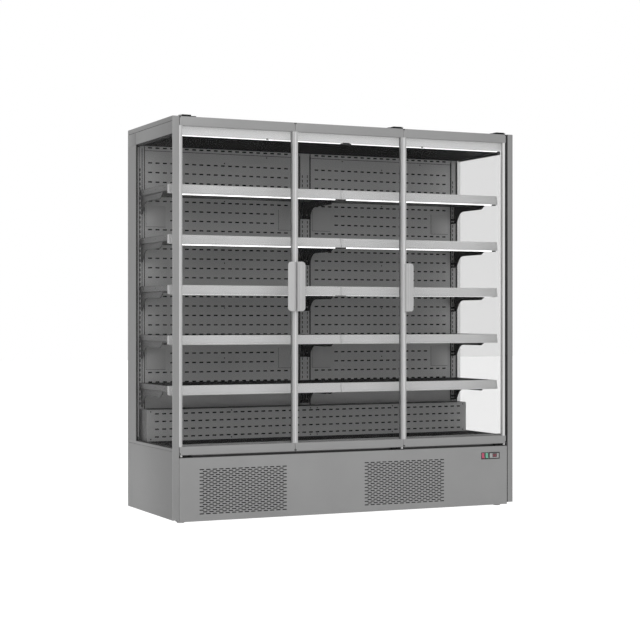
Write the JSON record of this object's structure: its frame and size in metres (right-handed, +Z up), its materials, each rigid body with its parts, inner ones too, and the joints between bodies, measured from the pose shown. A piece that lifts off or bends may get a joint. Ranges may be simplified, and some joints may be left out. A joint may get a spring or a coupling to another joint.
{
  "type": "glass-door multideck display fridge",
  "caption": "Tall multideck display fridge with hinged glass doors, glass ends, lit adjustable shelves and a refrigeration unit in its base.",
  "frame": {"origin": "middle of the overall box, on the floor under the levelling feet", "axes": "+X to the right seen from the front, +Y from the doors towards the back, +Z up"},
  "size_m": [1.95, 0.728, 2.0125],
  "materials": {
    "body_paint": "satin grey powder coat",
    "end_paint": "satin grey powder coat",
    "frame_aluminium": "satin anodised",
    "interior_paint": "satin grey powder coat",
    "ceiling_dark": "dark satin",
    "rail_white": "light grey satin",
    "lamp_white": "white diffuser",
    "bracket_black": "black powder coat",
    "clear_glass": "clear float glass",
    "seal_grey": "matt grey",
    "handle_grey": "satin",
    "hinge_dark": "dark satin",
    "galvanised": "galvanised",
    "coil_fins": "mill finish",
    "pot_black": "black gloss",
    "copper": "bare copper",
    "fan_black": "moulded",
    "switch_black": "moulded",
    "switch_red": "gloss",
    "switch_green": "gloss",
    "controller_grey": "gloss",
    "foot_white": "moulded"
  },
  "bodies": {
    "cabinet": {"back_panels": "interior_paint", "base_frame": "galvanised", "bottom_hinges": "hinge_dark", "canopy_light": "lamp_white", "ceiling_liner": "ceiling_dark", "compressor": "pot_black", "condenser": "coil_fins", "condenser_shroud": "galvanised", "deck": "interior_paint", "drip_tray": "galvanised", "end_glass_left": "clear_glass", "end_glass_right": "clear_glass", "end_header_left": "end_paint", "end_header_right": "end_paint", "evaporator": "coil_fins", "fan_plate": "galvanised", "front_panel": "body_paint", "front_post_left": "frame_aluminium", "front_post_right": "frame_aluminium", "header_profile": "rail_white", "insulated_floor": "interior_paint", "levelling_feet": "foot_white", "lower_panel_left": "end_paint", "lower_panel_right": "end_paint", "plenum_panel": "interior_paint", "price_rails": "rail_white", "rear_grille": "body_paint", "rear_post_left": "end_paint", "rear_post_right": "end_paint", "rear_wall": "body_paint", "refrigerant_pipes": "copper", "roof": "body_paint", "shelf_brackets": "bracket_black", "shelf_deck_1": "interior_paint", "shelf_deck_2": "interior_paint", "shelf_deck_3": "interior_paint", "shelf_deck_4": "interior_paint", "shelf_deck_5": "interior_paint", "shelf_lights": "lamp_white", "shelf_uprights": "interior_paint", "switch_housings": "switch_black", "thermostat": "controller_grey", "top_hinges": "hinge_dark"},
    "door_left": {"door_frame_left": "frame_aluminium", "door_glass_left": "clear_glass", "door_seal_left": "seal_grey", "door_handle_left": "handle_grey"},
    "door_middle": {"door_frame_middle": "frame_aluminium", "door_glass_middle": "clear_glass", "door_seal_middle": "seal_grey", "door_handle_middle": "handle_grey"},
    "door_right": {"door_frame_right": "frame_aluminium", "door_glass_right": "clear_glass", "door_seal_right": "seal_grey", "door_handle_right": "handle_grey"},
    "condenser_fan": {"condenser_fan": "fan_black"},
    "evaporator_fan_left": {"evaporator_fan_left": "fan_black"},
    "evaporator_fan_right": {"evaporator_fan_right": "fan_black"},
    "red_switch": {"rocker_switch_red": "switch_red"},
    "green_switch": {"rocker_switch_green": "switch_green"}
  },
  "joints": [
    {"name": "door_left_hinge", "type": "hinge", "parent": "cabinet", "child": "door_left", "pos_m": [-0.9285, -0.329, 0.334], "axis": [0, 0, 1], "range_deg": [-90, 0]},
    {"name": "door_middle_hinge", "type": "hinge", "parent": "cabinet", "child": "door_middle", "pos_m": [0.2995, -0.329, 0.334], "axis": [0, 0, 1], "range_deg": [0, 90]},
    {"name": "door_right_hinge", "type": "hinge", "parent": "cabinet", "child": "door_right", "pos_m": [0.923, -0.329, 0.334], "axis": [0, 0, 1], "range_deg": [0, 90]},
    {"name": "condenser_fan_spin", "type": "hinge", "parent": "cabinet", "child": "condenser_fan", "pos_m": [-0.61, -0.13, 0.172], "axis": [0, 1, 0], "continuous": true},
    {"name": "evaporator_fan_left_spin", "type": "hinge", "parent": "cabinet", "child": "evaporator_fan_left", "pos_m": [-0.45, 0.17, 0.45], "axis": [0, 1, 0], "continuous": true},
    {"name": "evaporator_fan_right_spin", "type": "hinge", "parent": "cabinet", "child": "evaporator_fan_right", "pos_m": [0.45, 0.17, 0.45], "axis": [0, 1, 0], "continuous": true},
    {"name": "red_switch_rock", "type": "hinge", "parent": "cabinet", "child": "red_switch", "pos_m": [0.7885, -0.327, 0.27], "axis": [1, 0, 0], "range_deg": [0, 14]},
    {"name": "green_switch_rock", "type": "hinge", "parent": "cabinet", "child": "green_switch", "pos_m": [0.8115, -0.327, 0.27], "axis": [1, 0, 0], "range_deg": [0, 14]}
  ]
}
